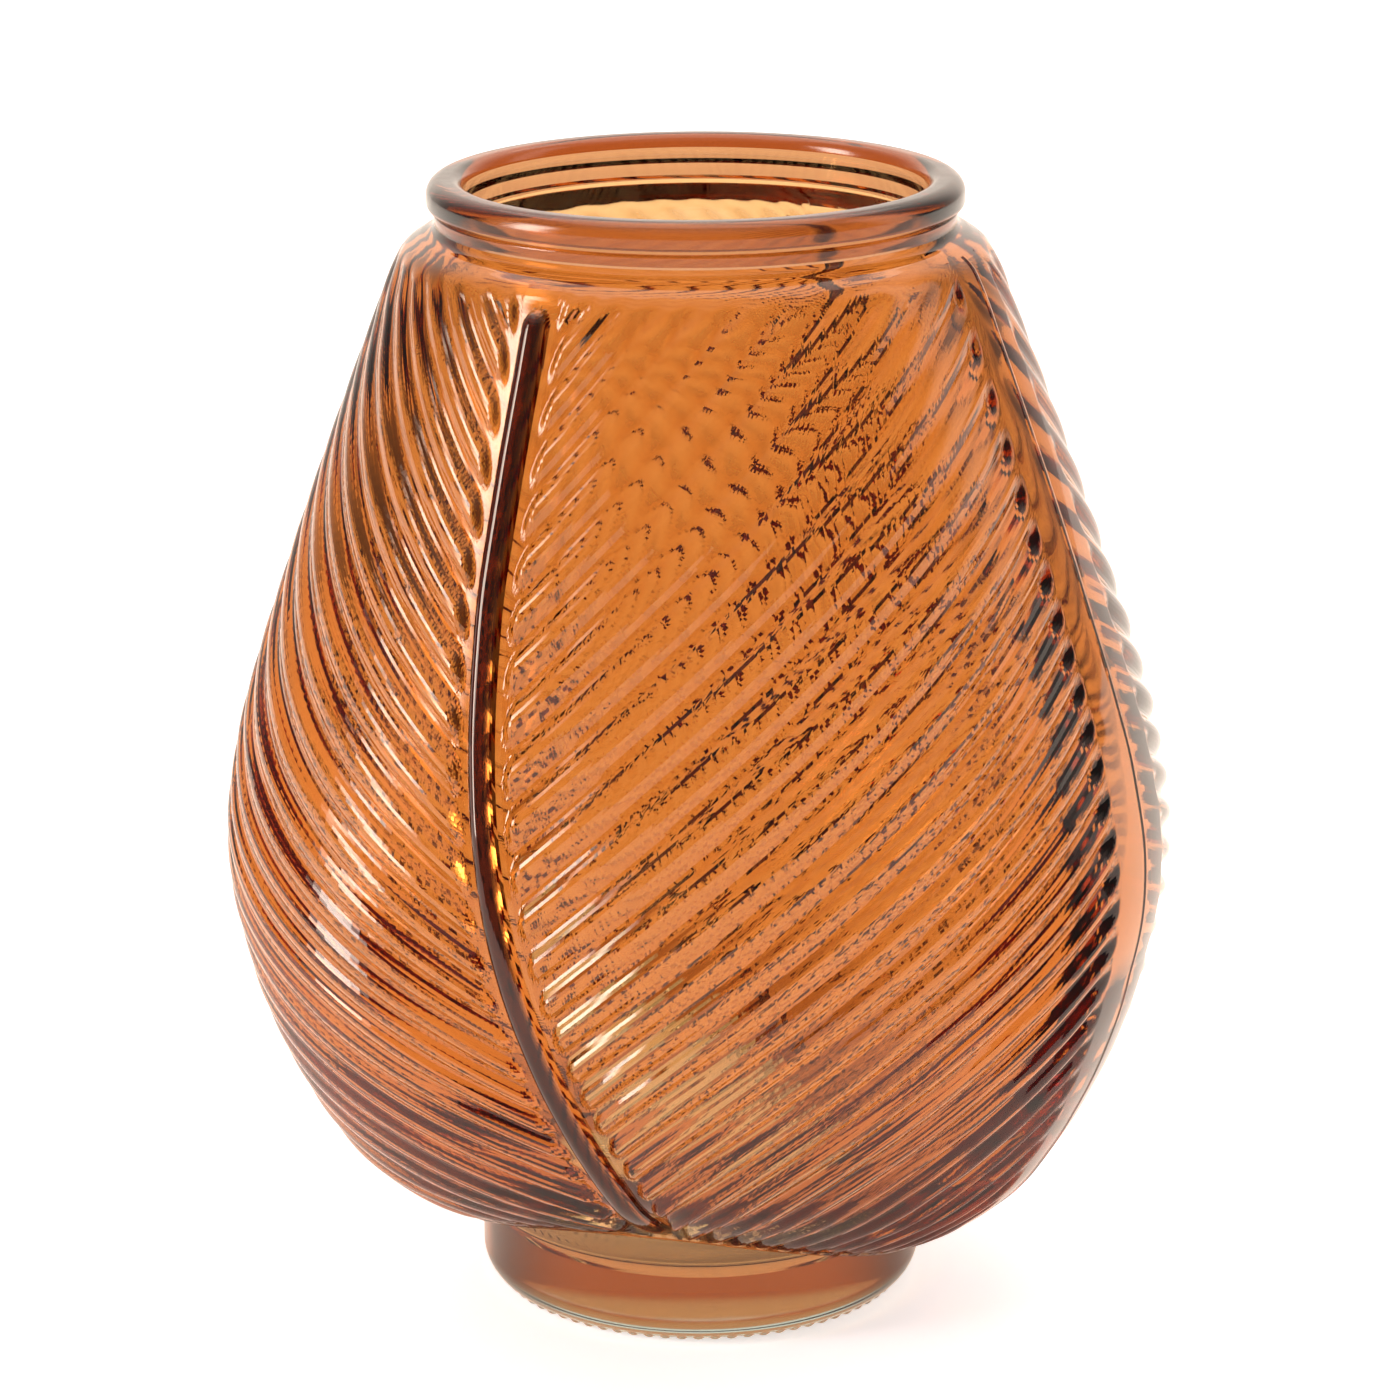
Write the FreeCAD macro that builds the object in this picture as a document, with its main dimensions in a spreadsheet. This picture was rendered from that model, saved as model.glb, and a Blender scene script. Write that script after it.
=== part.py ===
"""Leaf-moulded glass vase: amber-coated clear glass, shaped in a two-part mould.

Row frame: origin at the centre of the standing ring, +Z up, mould seams on the +X
and -X sides, the middle of the front leaf towards -Y.  All lengths are millimetres.
Azimuth is measured from -Y towards +X, in degrees.
"""
import FreeCAD, Part
import Sketcher
import math
import os

doc = FreeCAD.newDocument("leaf_vase")

# ---------------------------------------------------------------- driving dimensions
DIMS = {
    "vase_height": 180.0,
    "mouth_radius": 35.8,
    "bead_radius": 41.5,
    "bead_foot_z": 175.2,
    "bead_round": 2.4,
    "bead_inner_round": 1.6,
    "collar_radius": 40.2,
    "collar_foot_z": 173.0,
    "shoulder_z": 168.0,
    "stretch_top_z": 60.0,
    "foot_radius": 35.5,
    "floor_z": 9.0,
    "floor_radius": 24.0,
    "heel_round": 5.4,
    "push_up_radius": 27.0,
    "push_up_depth": 1.2,
    "ledge_high_z": 20.0,
    "ledge_low_z": 9.6,
    "ledge_turn": 9.0,
    "ledge_step": 2.2,
    "relief_depth": 1.35,
    "relief_middle_share": 0.8,
    "relief_seam_share": 1.3,
    "relief_grows_from": 40.0,
    "relief_grows_to": 78.0,
    "embed_depth": 0.7,
    "midrib_width": 4.4,
    "midrib_rise": 2.3,
    "midrib_neck_turn": -6.0,
    "midrib_straight_z": 130.0,
    "midrib_sweep": 0.0166,
    "midrib_sweep_power": 1.526,
    "channel_width": 4.6,
    "vein_top_z": 166.0,
    "vein_pitch_least": 4.8,
    "vein_pitch_most": 6.9,
    "vein_pitch_growth": 0.06,
    "vein_pitch_from_z": 50.0,
    "right_vein_slope": 1.2,
    "right_vein_droop": 0.00425,
    "left_vein_slope": 0.25,
    "left_vein_growth": 0.0055,
    "left_vein_steepest": 0.95,
    "margin_half_angle": 7.0,
    "rib_top_z": 168.4,
    "dot_count": 78.0,
    "dot_ring_radius": 32.0,
    "dot_radius": 1.0,
    "dot_rise": 0.35,
}

sheet = doc.addObject("Spreadsheet::Sheet", "dims")
for row, (word, value) in enumerate(DIMS.items(), start=1):
    sheet.set("A%d" % row, word)
    sheet.set("B%d" % row, "%g" % value)
    sheet.setAlias("B%d" % row, word)
doc.recompute()


def dim(word):
    """Value of one driving dimension, read from the sheet."""
    return float(sheet.get(word))


# ---------------------------------------------------------------- shape of the glass
# Outside at crest level over the leaf middle, as (height, radius).
CREST = [
    (20.0, 38.6), (22.0, 44.0), (26.0, 50.4), (30.0, 55.6), (35.0, 60.0), (40.0, 63.6),
    (50.0, 69.2), (60.0, 72.8), (67.0, 74.4), (75.0, 75.0), (83.0, 74.5), (92.0, 72.9),
    (104.0, 69.6), (118.0, 64.9), (132.0, 60.0), (146.0, 54.8), (158.0, 50.2), (168.0, 46.0),
]
# Inside of the wall, from the neck down to the floor.
INSIDE = [
    (168.0, 38.2), (160.0, 42.8), (146.0, 48.2), (130.0, 54.4), (112.0, 61.0), (95.0, 66.0),
    (80.0, 68.4), (68.0, 68.0), (55.0, 65.0), (44.0, 59.4), (35.0, 51.6), (28.0, 42.4),
    (22.0, 34.0), (16.0, 29.6), (11.0, 26.6),
]


def along(table, level):
    """Straight-line reading of a (height, radius) list at one height."""
    if level <= table[0][0]:
        return table[0][1]
    for (z_a, r_a), (z_b, r_b) in zip(table, table[1:]):
        if level <= z_b:
            return r_a + (r_b - r_a) * (level - z_a) / (z_b - z_a)
    return table[-1][1]


def ledge_level(azimuth):
    """Height of the edge where the body overhangs the foot."""
    low = dim("ledge_low_z")
    swing = math.cos(math.radians(azimuth - dim("ledge_turn")))
    return low + (dim("ledge_high_z") - low) * swing * swing


def stretched(level, azimuth):
    """Height on the mould of a point of the leaf-middle outline."""
    top = dim("stretch_top_z")
    start = dim("ledge_high_z")
    if level >= top:
        return level
    edge = ledge_level(azimuth)
    return edge + (level - start) * (top - edge) / (top - start)


def unstretched(level, azimuth):
    """Reverse of stretched()."""
    top = dim("stretch_top_z")
    start = dim("ledge_high_z")
    if level >= top:
        return level
    edge = ledge_level(azimuth)
    return start + (level - edge) * (top - start) / (top - edge)


def relief_at(level, azimuth):
    """Depth from crest to valley: deepest beside the seams, less near the neck and the ledge."""
    upper = min(1.0, max(0.55, (dim("vase_height") - level) / 60.0))
    lower = min(1.0, max(0.7, (level - 12.0) / 14.0))
    start = dim("relief_grows_from")
    share = min(1.0, max(0.0, (abs(azimuth) - start) / (dim("relief_grows_to") - start)))
    eased = share * share * (3.0 - 2.0 * share)
    middle = dim("relief_middle_share")
    outward = middle + (dim("relief_seam_share") - middle) * eased
    return dim("relief_depth") * upper * lower * outward


def crest_radius(level, azimuth):
    return along(CREST, unstretched(level, azimuth))


def valley_radius(level, azimuth):
    return crest_radius(level, azimuth) - relief_at(level, azimuth)


def place(radius, azimuth, level):
    turn = math.radians(azimuth)
    return FreeCAD.Vector(radius * math.sin(turn), -radius * math.cos(turn), level)


def curve_through(points):
    curve = Part.BSplineCurve()
    curve.interpolate(points)
    return curve.toShape()


def line(start, end):
    return Part.makeLine(start, end)


def wall_section(azimuth):
    """Cut through the wall at one azimuth, floor level to the neck, at valley level."""
    edge = ledge_level(azimuth)
    outer = []
    for level, radius in CREST:
        height = stretched(level, azimuth)
        outer.append(place(radius - relief_at(height, azimuth), azimuth, height))
    outer[0] = place(dim("foot_radius") + dim("ledge_step"), azimuth, edge + 0.5)
    band_low = dim("rib_top_z") - 1.0
    outer[-1] = place(valley_radius(band_low, azimuth), azimuth, band_low)
    band = place(crest_radius(dim("shoulder_z"), azimuth), azimuth, dim("rib_top_z"))
    inner = [place(dim("mouth_radius"), azimuth, dim("collar_foot_z"))]
    for level, radius in INSIDE:
        inner.append(place(radius, azimuth, level))
    inner.append(place(dim("floor_radius"), azimuth, dim("floor_z")))
    foot_low = place(dim("foot_radius"), azimuth, dim("floor_z"))
    foot_high = place(dim("foot_radius"), azimuth, edge - 0.3)
    neck = place(dim("collar_radius"), azimuth, dim("collar_foot_z"))
    shoulder = place(dim("collar_radius") + 1.6, azimuth, dim("collar_foot_z") - 1.2)
    edges = [
        line(inner[-1], foot_low),
        line(foot_low, foot_high),
        line(foot_high, outer[0]),
        curve_through(outer),
        line(outer[-1], band),
        line(band, shoulder),
        line(shoulder, neck),
        line(neck, inner[0]),
        curve_through(inner),
    ]
    return Part.Wire(edges)


def add_piece(name, shape):
    """One sub-part of the vase as a named solid."""
    piece = doc.addObject("Part::Feature", name)
    piece.Label = name
    piece.Shape = shape
    return piece


# ---------------------------------------------------------------- the two wall halves
half_turns = [-90.0 + 15.0 * step for step in range(13)]
front_wall = Part.makeLoft([wall_section(turn) for turn in half_turns], True, False)
half_turn = FreeCAD.Rotation(FreeCAD.Vector(0, 0, 1), 180)
to_back = FreeCAD.Placement(FreeCAD.Vector(0, 0, 0), half_turn)
back_wall = front_wall.copy()
back_wall.Placement = to_back
wall_front = add_piece("wall_front", front_wall)
wall_back = add_piece("wall_back", front_wall)
wall_back.Placement = to_back


# ---------------------------------------------------------------- smooth seam margins
def margin_section(azimuth):
    """Band beside a mould seam, at crest level outside and set into the wall."""
    levels = [stretched(level, azimuth) for level, radius in CREST]
    fade = 1.0 - 0.35 * abs((abs(azimuth) - 90.0) / dim("margin_half_angle")) ** 3
    outer = []
    inner = []
    for level in levels[1:]:
        valley = valley_radius(level, azimuth)
        rise = (crest_radius(level, azimuth) - valley) * fade
        outer.append(place(valley + rise, azimuth, level))
        inner.append(place(valley - dim("embed_depth"), azimuth, level))
    edges = [
        curve_through(outer),
        line(outer[-1], inner[-1]),
        curve_through(list(reversed(inner))),
        line(inner[0], outer[0]),
    ]
    return Part.Wire(edges)


reach = dim("margin_half_angle")
margin_turns = [90.0 - reach, 90.0 - 0.5 * reach, 90.0, 90.0 + 0.5 * reach, 90.0 + reach]
margin = Part.makeLoft([margin_section(turn) for turn in margin_turns], True, False)
margin = margin.cut(front_wall).cut(back_wall)
margin_right = add_piece("seam_margin_right", margin)
margin_left = add_piece("seam_margin_left", margin)
margin_left.Placement = to_back


# ---------------------------------------------------------------- leaf midribs
def midrib_azimuth(level):
    """The midrib stands upright near the neck and sweeps sideways towards the foot."""
    below = max(0.0, dim("midrib_straight_z") - level)
    return dim("midrib_neck_turn") + dim("midrib_sweep") * below ** dim("midrib_sweep_power")


def midrib_section(level):
    azimuth = midrib_azimuth(level)
    valley = valley_radius(level, azimuth)
    ends = min(1.0, 0.45 + (dim("rib_top_z") + 1.0 - level) / 6.0)
    half = math.degrees(0.5 * dim("midrib_width") * ends / valley)
    left = place(valley - dim("embed_depth"), azimuth - half, level)
    top = place(valley + dim("midrib_rise") * ends, azimuth, level)
    right = place(valley - dim("embed_depth"), azimuth + half, level)
    edges = [Part.Arc(left, top, right).toShape(), line(right, left)]
    return Part.Wire(edges)


midrib_levels = [22.5, 26, 30, 36, 44, 54, 66, 78, 90, 103, 116, 130, 144, 156, 164, 167, 169.4]
midrib = Part.makeLoft([midrib_section(level) for level in midrib_levels], True, False)
midrib = midrib.cut(front_wall)
midrib_front = add_piece("midrib_front", midrib)
midrib_back = add_piece("midrib_back", midrib)
midrib_back.Placement = to_back


# ---------------------------------------------------------------- side veins
def vein_pitch(start):
    """Spacing of neighbouring veins where they leave the midrib."""
    least = dim("vein_pitch_least")
    grown = least + dim("vein_pitch_growth") * (start - dim("vein_pitch_from_z"))
    return min(dim("vein_pitch_most"), max(least, grown))


def vein_level(start, azimuth, side):
    """Height of a vein line at one azimuth; side is +1 right of the midrib, -1 left."""
    away = side * (azimuth - midrib_azimuth(start))
    if side > 0:
        droop = dim("right_vein_droop") * away * away
        return start + dim("right_vein_slope") * away - droop
    slope = dim("left_vein_slope") + dim("left_vein_growth") * start
    return start + min(dim("left_vein_steepest"), slope) * away


def vein_section(start, azimuth, side, fullness):
    """Rounded lobe of one vein, cut by a plane through the vase axis."""
    half = 0.49 * vein_pitch(start)
    bottom = vein_level(start - half, azimuth, side)
    top = vein_level(start + half, azimuth, side)
    middle = 0.5 * (bottom + top)
    sunk = dim("embed_depth")
    low = place(valley_radius(bottom, azimuth) - sunk, azimuth, bottom)
    crest_at = valley_radius(middle, azimuth) + relief_at(middle, azimuth) * fullness
    crest = place(crest_at, azimuth, middle)
    high = place(valley_radius(top, azimuth) - sunk, azimuth, top)
    edges = [Part.Arc(low, crest, high).toShape(), line(high, low)]
    return Part.Wire(edges)


def vein(start, side):
    """One vein from beside the midrib to the seam margin or the shoulder, or None."""
    centre = midrib_azimuth(start)
    half = 0.5 * vein_pitch(start)
    gap = math.degrees(dim("channel_width") / along(CREST, max(start, 30.0)))
    limit = 90.0 - reach
    usable = []
    azimuth = centre + side * gap
    while side * azimuth < limit:
        level = vein_level(start, azimuth, side)
        if level - half > dim("rib_top_z") - 1.5:
            break
        if level - half > ledge_level(azimuth) + 1.8:
            usable.append(azimuth)
        azimuth += side
    if len(usable) < 4:
        return None
    last = usable[-1]
    if side * last > limit - 1.0:
        last = side * limit
    span = last - usable[0]
    count = max(2, int(round(abs(span) / 9.0)) + 1)
    sections = [vein_section(start, usable[0], side, 0.3)]
    sections.append(vein_section(start, usable[0] + span * 0.5 / (count + 1), side, 0.85))
    for index in range(1, count + 1):
        sections.append(vein_section(start, usable[0] + span * index / count, side, 1.0))
    return Part.makeLoft(sections, True, False)


below_band = Part.makeCylinder(120.0, dim("rib_top_z") - 0.5)


def standing_proud(lobe):
    """The part of a lobe outside the wall and below the shoulder band."""
    if lobe.BoundBox.ZMax > dim("rib_top_z") - 0.5:
        lobe = lobe.common(below_band)
    for slack in (0.0, 0.0005, 0.002, 0.005):
        solids = lobe.cut((front_wall,), slack).Solids
        largest = max(solids, key=lambda solid: solid.Volume, default=None)
        if largest is not None and largest.Volume > 0.1 * lobe.Volume:
            return largest
    raise RuntimeError("a vein lobe was lost")


def vein_group(side):
    """Veins of one side, from the neck down to those that rise out of the ledge."""
    lobes = []
    start = dim("vein_top_z")
    while start > -3.0:
        lobe = vein(start, side)
        if lobe is not None:
            lobes.append(standing_proud(lobe))
        start -= vein_pitch(start)
    return Part.makeCompound(lobes)


right_veins = vein_group(1)
left_veins = vein_group(-1)
veins_front_right = add_piece("veins_front_right", right_veins)
veins_front_left = add_piece("veins_front_left", left_veins)
veins_back_right = add_piece("veins_back_right", right_veins)
veins_back_left = add_piece("veins_back_left", left_veins)
veins_back_right.Placement = to_back
veins_back_left.Placement = to_back


# ---------------------------------------------------------------- turned pieces
def origin_plane(body, role):
    for feature in body.Origin.OriginFeatures:
        if feature.Role == role:
            return feature
    raise ValueError("no plane " + role)


def turned_piece(name, corners):
    """Body turned about Z from a closed outline of (radius, height) expressions."""
    body = doc.addObject("PartDesign::Body", name)
    body.Label = name
    sketch = body.newObject("Sketcher::SketchObject", name + "_outline")
    sketch.AttachmentSupport = [(origin_plane(body, "XZ_Plane"), "")]
    sketch.MapMode = "FlatFace"
    count = len(corners)
    spots = []
    for radius, height in corners:
        spots.append(FreeCAD.Vector(value_of(radius), value_of(height), 0))
    for index in range(count):
        sketch.addGeometry(Part.LineSegment(spots[index], spots[(index + 1) % count]), False)
    for index in range(count):
        join = Sketcher.Constraint("Coincident", index, 2, (index + 1) % count, 1)
        sketch.addConstraint(join)
    for index, (radius, height) in enumerate(corners):
        bind(sketch, "DistanceX", index, radius)
        bind(sketch, "DistanceY", index, height)
    turn = body.newObject("PartDesign::Revolution", name + "_turn")
    turn.Profile = (sketch, [""])
    turn.ReferenceAxis = (sketch, ["V_Axis"])
    turn.Angle = 360
    body.Tip = turn
    doc.recompute()
    return body, turn


def value_of(expression):
    """Number behind an alias, a sum of two aliases or a difference of two aliases."""
    if expression == "0":
        return 0.0
    for sign, factor in ((" + ", 1.0), (" - ", -1.0)):
        if sign in expression:
            left, right = expression.split(sign)
            return value_of(left) + factor * value_of(right)
    return dim(expression)


def bind(sketch, kind, corner, expression):
    """Tie one corner coordinate to the sheet."""
    value = value_of(expression)
    if expression == "0":
        axis = -2 if kind == "DistanceX" else -1
        sketch.addConstraint(Sketcher.Constraint("PointOnObject", corner, 1, axis))
        return
    number = sketch.addConstraint(Sketcher.Constraint(kind, -1, 1, corner, 1, value))
    words = expression.split(" ")
    bound = " ".join("dims." + word if word in DIMS else word for word in words)
    sketch.setExpression("Constraints[%d]" % number, bound)


def rounded(body, base, name, radius_word, wanted):
    """Round the circular edges of base that lie at the wanted (radius, height) spots."""
    edges = []
    for index, edge in enumerate(base.Shape.Edges, start=1):
        curve = edge.Curve
        if curve.TypeId != "Part::GeomCircle":
            continue
        for radius, height in wanted:
            same = abs(curve.Radius - radius) < 0.01 and abs(curve.Center.z - height) < 0.01
            if same:
                edges.append("Edge%d" % index)
    fillet = body.newObject("PartDesign::Fillet", name)
    fillet.Base = (base, edges)
    fillet.setExpression("Radius", "dims." + radius_word)
    body.Tip = fillet
    doc.recompute()
    return fillet


rim, rim_turn = turned_piece("rim_bead", [
    ("mouth_radius", "bead_foot_z"),
    ("bead_radius", "bead_foot_z"),
    ("bead_radius", "vase_height"),
    ("mouth_radius", "vase_height"),
])
rim_edges = [(dim("bead_radius"), dim("bead_foot_z")), (dim("bead_radius"), dim("vase_height"))]
rim_outer = rounded(rim, rim_turn, "bead_rounding", "bead_round", rim_edges[1:])
rim_low = rounded(rim, rim_outer, "bead_under_rounding", "bead_inner_round", rim_edges[:1])
rim_inner_edge = [(dim("mouth_radius"), dim("vase_height"))]
rim_inner = rounded(rim, rim_low, "lip_inner_rounding", "bead_inner_round", rim_inner_edge)

collar, collar_turn = turned_piece("neck_collar", [
    ("mouth_radius", "collar_foot_z"),
    ("collar_radius", "collar_foot_z"),
    ("collar_radius", "bead_foot_z"),
    ("mouth_radius", "bead_foot_z"),
])

foot, foot_turn = turned_piece("foot_base", [
    ("0", "push_up_depth"),
    ("push_up_radius", "push_up_depth"),
    ("push_up_radius + push_up_depth", "0"),
    ("foot_radius", "0"),
    ("foot_radius", "floor_z"),
    ("0", "floor_z"),
])
heel = rounded(foot, foot_turn, "heel_rounding", "heel_round", [(dim("foot_radius"), 0.0)])

# ---------------------------------------------------------------- gripping dots on the heel
dots = []
heel_centre_radius = dim("foot_radius") - dim("heel_round")
lean = math.asin((dim("dot_ring_radius") - heel_centre_radius) / dim("heel_round"))
dot_depth = dim("dot_radius") - dim("dot_rise")
reach_out = dim("heel_round") - dot_depth
dot_ring = heel_centre_radius + reach_out * math.sin(lean)
dot_level = dim("heel_round") - reach_out * math.cos(lean)
one_dot = Part.makeSphere(dim("dot_radius"), place(dot_ring, 0.0, dot_level))
one_dot = one_dot.cut(heel.Shape)
for number in range(int(dim("dot_count"))):
    dot = one_dot.copy()
    dot.rotate(FreeCAD.Vector(0, 0, 0), FreeCAD.Vector(0, 0, 1), 360.0 * number / dim("dot_count"))
    dots.append(dot)
heel_dots = add_piece("heel_dots", Part.makeCompound(dots))

# ---------------------------------------------------------------- check and write
doc.recompute()
pieces = [
    rim, collar, wall_front, wall_back, margin_right, margin_left, midrib_front, midrib_back,
    veins_front_right, veins_front_left, veins_back_right, veins_back_left, foot, heel_dots,
]
for item in doc.Objects:
    if "Invalid" in item.State or "Error" in item.State:
        raise RuntimeError("feature failed: " + item.Name)
for piece in pieces:
    if piece.Shape.isNull() or not piece.Shape.isValid():
        raise RuntimeError("bad shape: " + piece.Label)

os.makedirs("parts", exist_ok=True)
for piece in pieces:
    piece.Shape.exportStep("parts/%s.step" % piece.Label)
    box = piece.Shape.BoundBox
    print("%-20s solids %3d  volume %10.1f  z %6.1f..%6.1f" % (
        piece.Label, len(piece.Shape.Solids), piece.Shape.Volume, box.ZMin, box.ZMax))
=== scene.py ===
"""Amber leaf-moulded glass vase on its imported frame, laid out as an add-on.

The wall is cut into panels along lines of the mould: midribs, vein fields and the smooth
margins beside the seams.  Every panel is a closed piece of glass.  Where two pieces are one
melt in the real vase, their touching faces carry the joint material, which bends no light.
Lengths in the formulas are millimetres; azimuth runs from -Y towards +X, in degrees.
"""
import math

import bmesh
import bpy
import numpy as np
from bpy.props import FloatProperty, FloatVectorProperty, IntProperty, PointerProperty
from mathutils import Matrix, Vector


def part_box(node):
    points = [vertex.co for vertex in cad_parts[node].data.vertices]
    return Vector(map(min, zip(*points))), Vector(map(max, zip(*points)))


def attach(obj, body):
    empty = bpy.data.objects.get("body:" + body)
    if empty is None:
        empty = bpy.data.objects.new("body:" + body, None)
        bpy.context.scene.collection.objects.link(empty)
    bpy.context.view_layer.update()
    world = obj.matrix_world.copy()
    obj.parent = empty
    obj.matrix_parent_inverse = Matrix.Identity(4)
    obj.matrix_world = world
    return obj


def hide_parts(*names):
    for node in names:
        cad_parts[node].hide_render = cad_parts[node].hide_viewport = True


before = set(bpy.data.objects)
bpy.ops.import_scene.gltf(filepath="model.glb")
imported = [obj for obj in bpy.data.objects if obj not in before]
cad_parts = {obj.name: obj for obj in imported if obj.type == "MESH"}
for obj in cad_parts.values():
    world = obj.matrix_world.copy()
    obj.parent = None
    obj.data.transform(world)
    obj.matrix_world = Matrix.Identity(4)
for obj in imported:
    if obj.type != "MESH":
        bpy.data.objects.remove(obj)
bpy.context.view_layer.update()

bl_info = {
    "name": "Leaf-moulded glass vase",
    "version": (1, 0, 0),
    "blender": (4, 5, 0),
    "location": "3D View > Sidebar > Vase",
    "description": "Builds an amber glass vase with leaf relief from its packed frame",
    "category": "Object",
}

MM = 0.001


def top_of(node):
    """Highest level of a CAD node, in millimetres."""
    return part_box(node)[1].z / MM


def bottom_of(node):
    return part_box(node)[0].z / MM


VASE_HEIGHT = round(top_of("rim_bead"), 1)
BEAD_FOOT = round(bottom_of("rim_bead"), 1)
COLLAR_FOOT = round(bottom_of("neck_collar"), 1)
FLOOR_LEVEL = round(top_of("foot_base"), 1)
FOOT_RADIUS = round(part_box("foot_base")[1].x / MM, 1)
COLLAR_RADIUS = round(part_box("neck_collar")[1].x / MM, 1)
BEAD_RADIUS = round(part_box("rim_bead")[1].x / MM, 1)
MOUTH_RADIUS = 35.8
FLOOR_RADIUS = 24.0

# Outside of the wall at crest level over the leaf middle: (radius, height, corner or smooth).
OUTSIDE = [
    (FOOT_RADIUS, FLOOR_LEVEL, "VECTOR"), (FOOT_RADIUS, 18.9, "VECTOR"),
    (37.6, 19.3, "VECTOR"), (39.0, 20.3, "AUTO"), (44.0, 22.2, "AUTO"), (50.4, 26.0, "AUTO"),
    (55.6, 30.0, "AUTO"), (60.0, 35.0, "AUTO"), (63.6, 40.0, "AUTO"), (69.2, 50.0, "AUTO"),
    (72.8, 60.0, "AUTO"), (75.0, 75.0, "AUTO"), (72.9, 92.0, "AUTO"), (69.6, 104.0, "AUTO"),
    (64.9, 118.0, "AUTO"), (60.0, 132.0, "AUTO"), (54.8, 146.0, "AUTO"), (50.2, 158.0, "AUTO"),
    (46.6, 167.0, "AUTO"), (45.2, 169.3, "AUTO"), (42.6, 171.2, "AUTO"), (40.8, 172.2, "AUTO"),
    (COLLAR_RADIUS, COLLAR_FOOT, "VECTOR"),
]
# Inside of the wall, floor corner to the collar.
INSIDE = [
    (FLOOR_RADIUS, FLOOR_LEVEL, "VECTOR"), (26.6, 11.0, "AUTO"), (29.6, 16.0, "AUTO"),
    (34.0, 22.0, "AUTO"), (42.4, 28.0, "AUTO"), (51.6, 35.0, "AUTO"), (59.4, 44.0, "AUTO"),
    (65.0, 55.0, "AUTO"), (68.4, 72.0, "AUTO"), (66.6, 92.0, "AUTO"), (61.0, 112.0, "AUTO"),
    (54.4, 130.0, "AUTO"), (48.2, 146.0, "AUTO"), (42.8, 160.0, "AUTO"), (38.2, 168.0, "AUTO"),
    (MOUTH_RADIUS, COLLAR_FOOT, "VECTOR"),
]
LEDGE = 20.0
INNER_LEDGE = 14.0
INNER_MEETS = 55.0
SHOULDER = 170.4
STRETCH_TOP = 60.0
PROFILE_STEP = 0.1
LOBE_FULLNESS = 2.0
SLOPE_STEP = 0.2


# ---------------------------------------------------------------- settings
class VaseSizes(bpy.types.PropertyGroup):
    """Sizes of the relief, in millimetres and degrees."""
    relief_depth: FloatProperty(
        name="Relief Depth", description="Crest to groove on the belly, mm", default=1.35, min=0.0)
    lobe_end: FloatProperty(
        name="Lobe End", description="Length of a vein's rounded end, mm", default=2.4, min=0.2)
    midrib_width: FloatProperty(
        name="Midrib Width", description="Width of the midrib bead, mm", default=4.4, min=0.5)
    midrib_rise: FloatProperty(
        name="Midrib Rise", description="Bead height above its channel, mm", default=2.3, min=0.0)
    inner_waviness: FloatProperty(
        name="Inner Waviness", description="Unevenness of the inside, mm", default=0.4, min=0.0)
    margin_angle: FloatProperty(
        name="Margin Half Angle", description="Smooth band beside a seam, degrees", default=7.0)
    seam_rise: FloatProperty(
        name="Seam Rise", description="Height of the mould seam line, mm", default=0.18, min=0.0)
    rows_per_vein: IntProperty(
        name="Rows per Vein", description="Mesh rows from groove to groove", default=12, min=4)
    vein_columns: IntProperty(
        name="Vein Columns", description="Mesh columns along a vein", default=90, min=8)
    strip_columns: IntProperty(
        name="Strip Columns", description="Mesh columns across a midrib or margin", default=33)
    strip_rows: IntProperty(
        name="Strip Rows", description="Mesh rows up a midrib or margin", default=330, min=8)
    turned_columns: IntProperty(
        name="Turned Columns", description="Mesh columns round a turned piece", default=390)
    dot_count: IntProperty(
        name="Heel Dots", description="Gripping dots round the heel", default=78, min=3)


def colour_setting(name, description, default):
    return FloatVectorProperty(
        name=name, description=description, subtype="COLOR", default=default,
        size=3, min=0.0, max=1.0)


class VaseColours(bpy.types.PropertyGroup):
    """Colours of the glass, its coating, the painted shade on the midrib bead, and the stage."""
    coat: colour_setting(
        "Amber Coat", "Light the coating passes once", (0.725, 0.4, 0.17))
    coat_thick: colour_setting(
        "Thick Coat", "Light passed where the coating gathers", (0.67, 0.325, 0.11))
    # Painted shade: the midrib bead is coloured near black, standing in for the dark that
    # refraction through the bead gives.
    bead_painted_shade: colour_setting(
        "Bead Coat", "Light passed on the midrib bead", (0.08, 0.015, 0.009))
    coat_foot: colour_setting(
        "Foot Coat", "Light passed where the spray is heaviest, on the foot", (0.5, 0.22, 0.075))
    coat_rim: colour_setting(
        "Rim Coat", "Light passed by the satin coat of the rim", (0.53, 0.23, 0.1))
    heel: colour_setting(
        "Heel Glass", "Light passed by the thick bare heel", (0.6, 0.62, 0.56))
    glass: colour_setting(
        "Glass", "Light the bare glass passes", (0.955, 0.975, 0.95))
    floor: colour_setting(
        "Floor", "Pale floor", (0.9, 0.9, 0.9))


# ---------------------------------------------------------------- fields
class Field:
    """A number that varies over the surface, worked out by Math nodes of one tree."""

    def __init__(self, tree, socket):
        self.tree = tree
        self.socket = socket

    def work(self, operation, *others):
        node = self.tree.nodes.new("ShaderNodeMath")
        node.operation = operation
        for slot, value in enumerate((self,) + others):
            connect(self.tree, value, node.inputs[slot])
        return Field(self.tree, node.outputs[0])

    def __add__(self, other):
        return self.work("ADD", other)

    def __sub__(self, other):
        return self.work("SUBTRACT", other)

    def __rsub__(self, other):
        return (self * -1.0) + other

    def __mul__(self, other):
        return self.work("MULTIPLY", other)

    def __truediv__(self, other):
        return self.work("DIVIDE", other)

    def __rtruediv__(self, other):
        return self ** -1.0 * other

    def __pow__(self, other):
        return self.work("POWER", other)

    __radd__ = __add__
    __rmul__ = __mul__


def connect(tree, value, socket):
    """Feed a field or a plain value to a node's input."""
    if isinstance(value, Field):
        tree.links.new(value.socket, socket)
    else:
        socket.default_value = value


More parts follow.
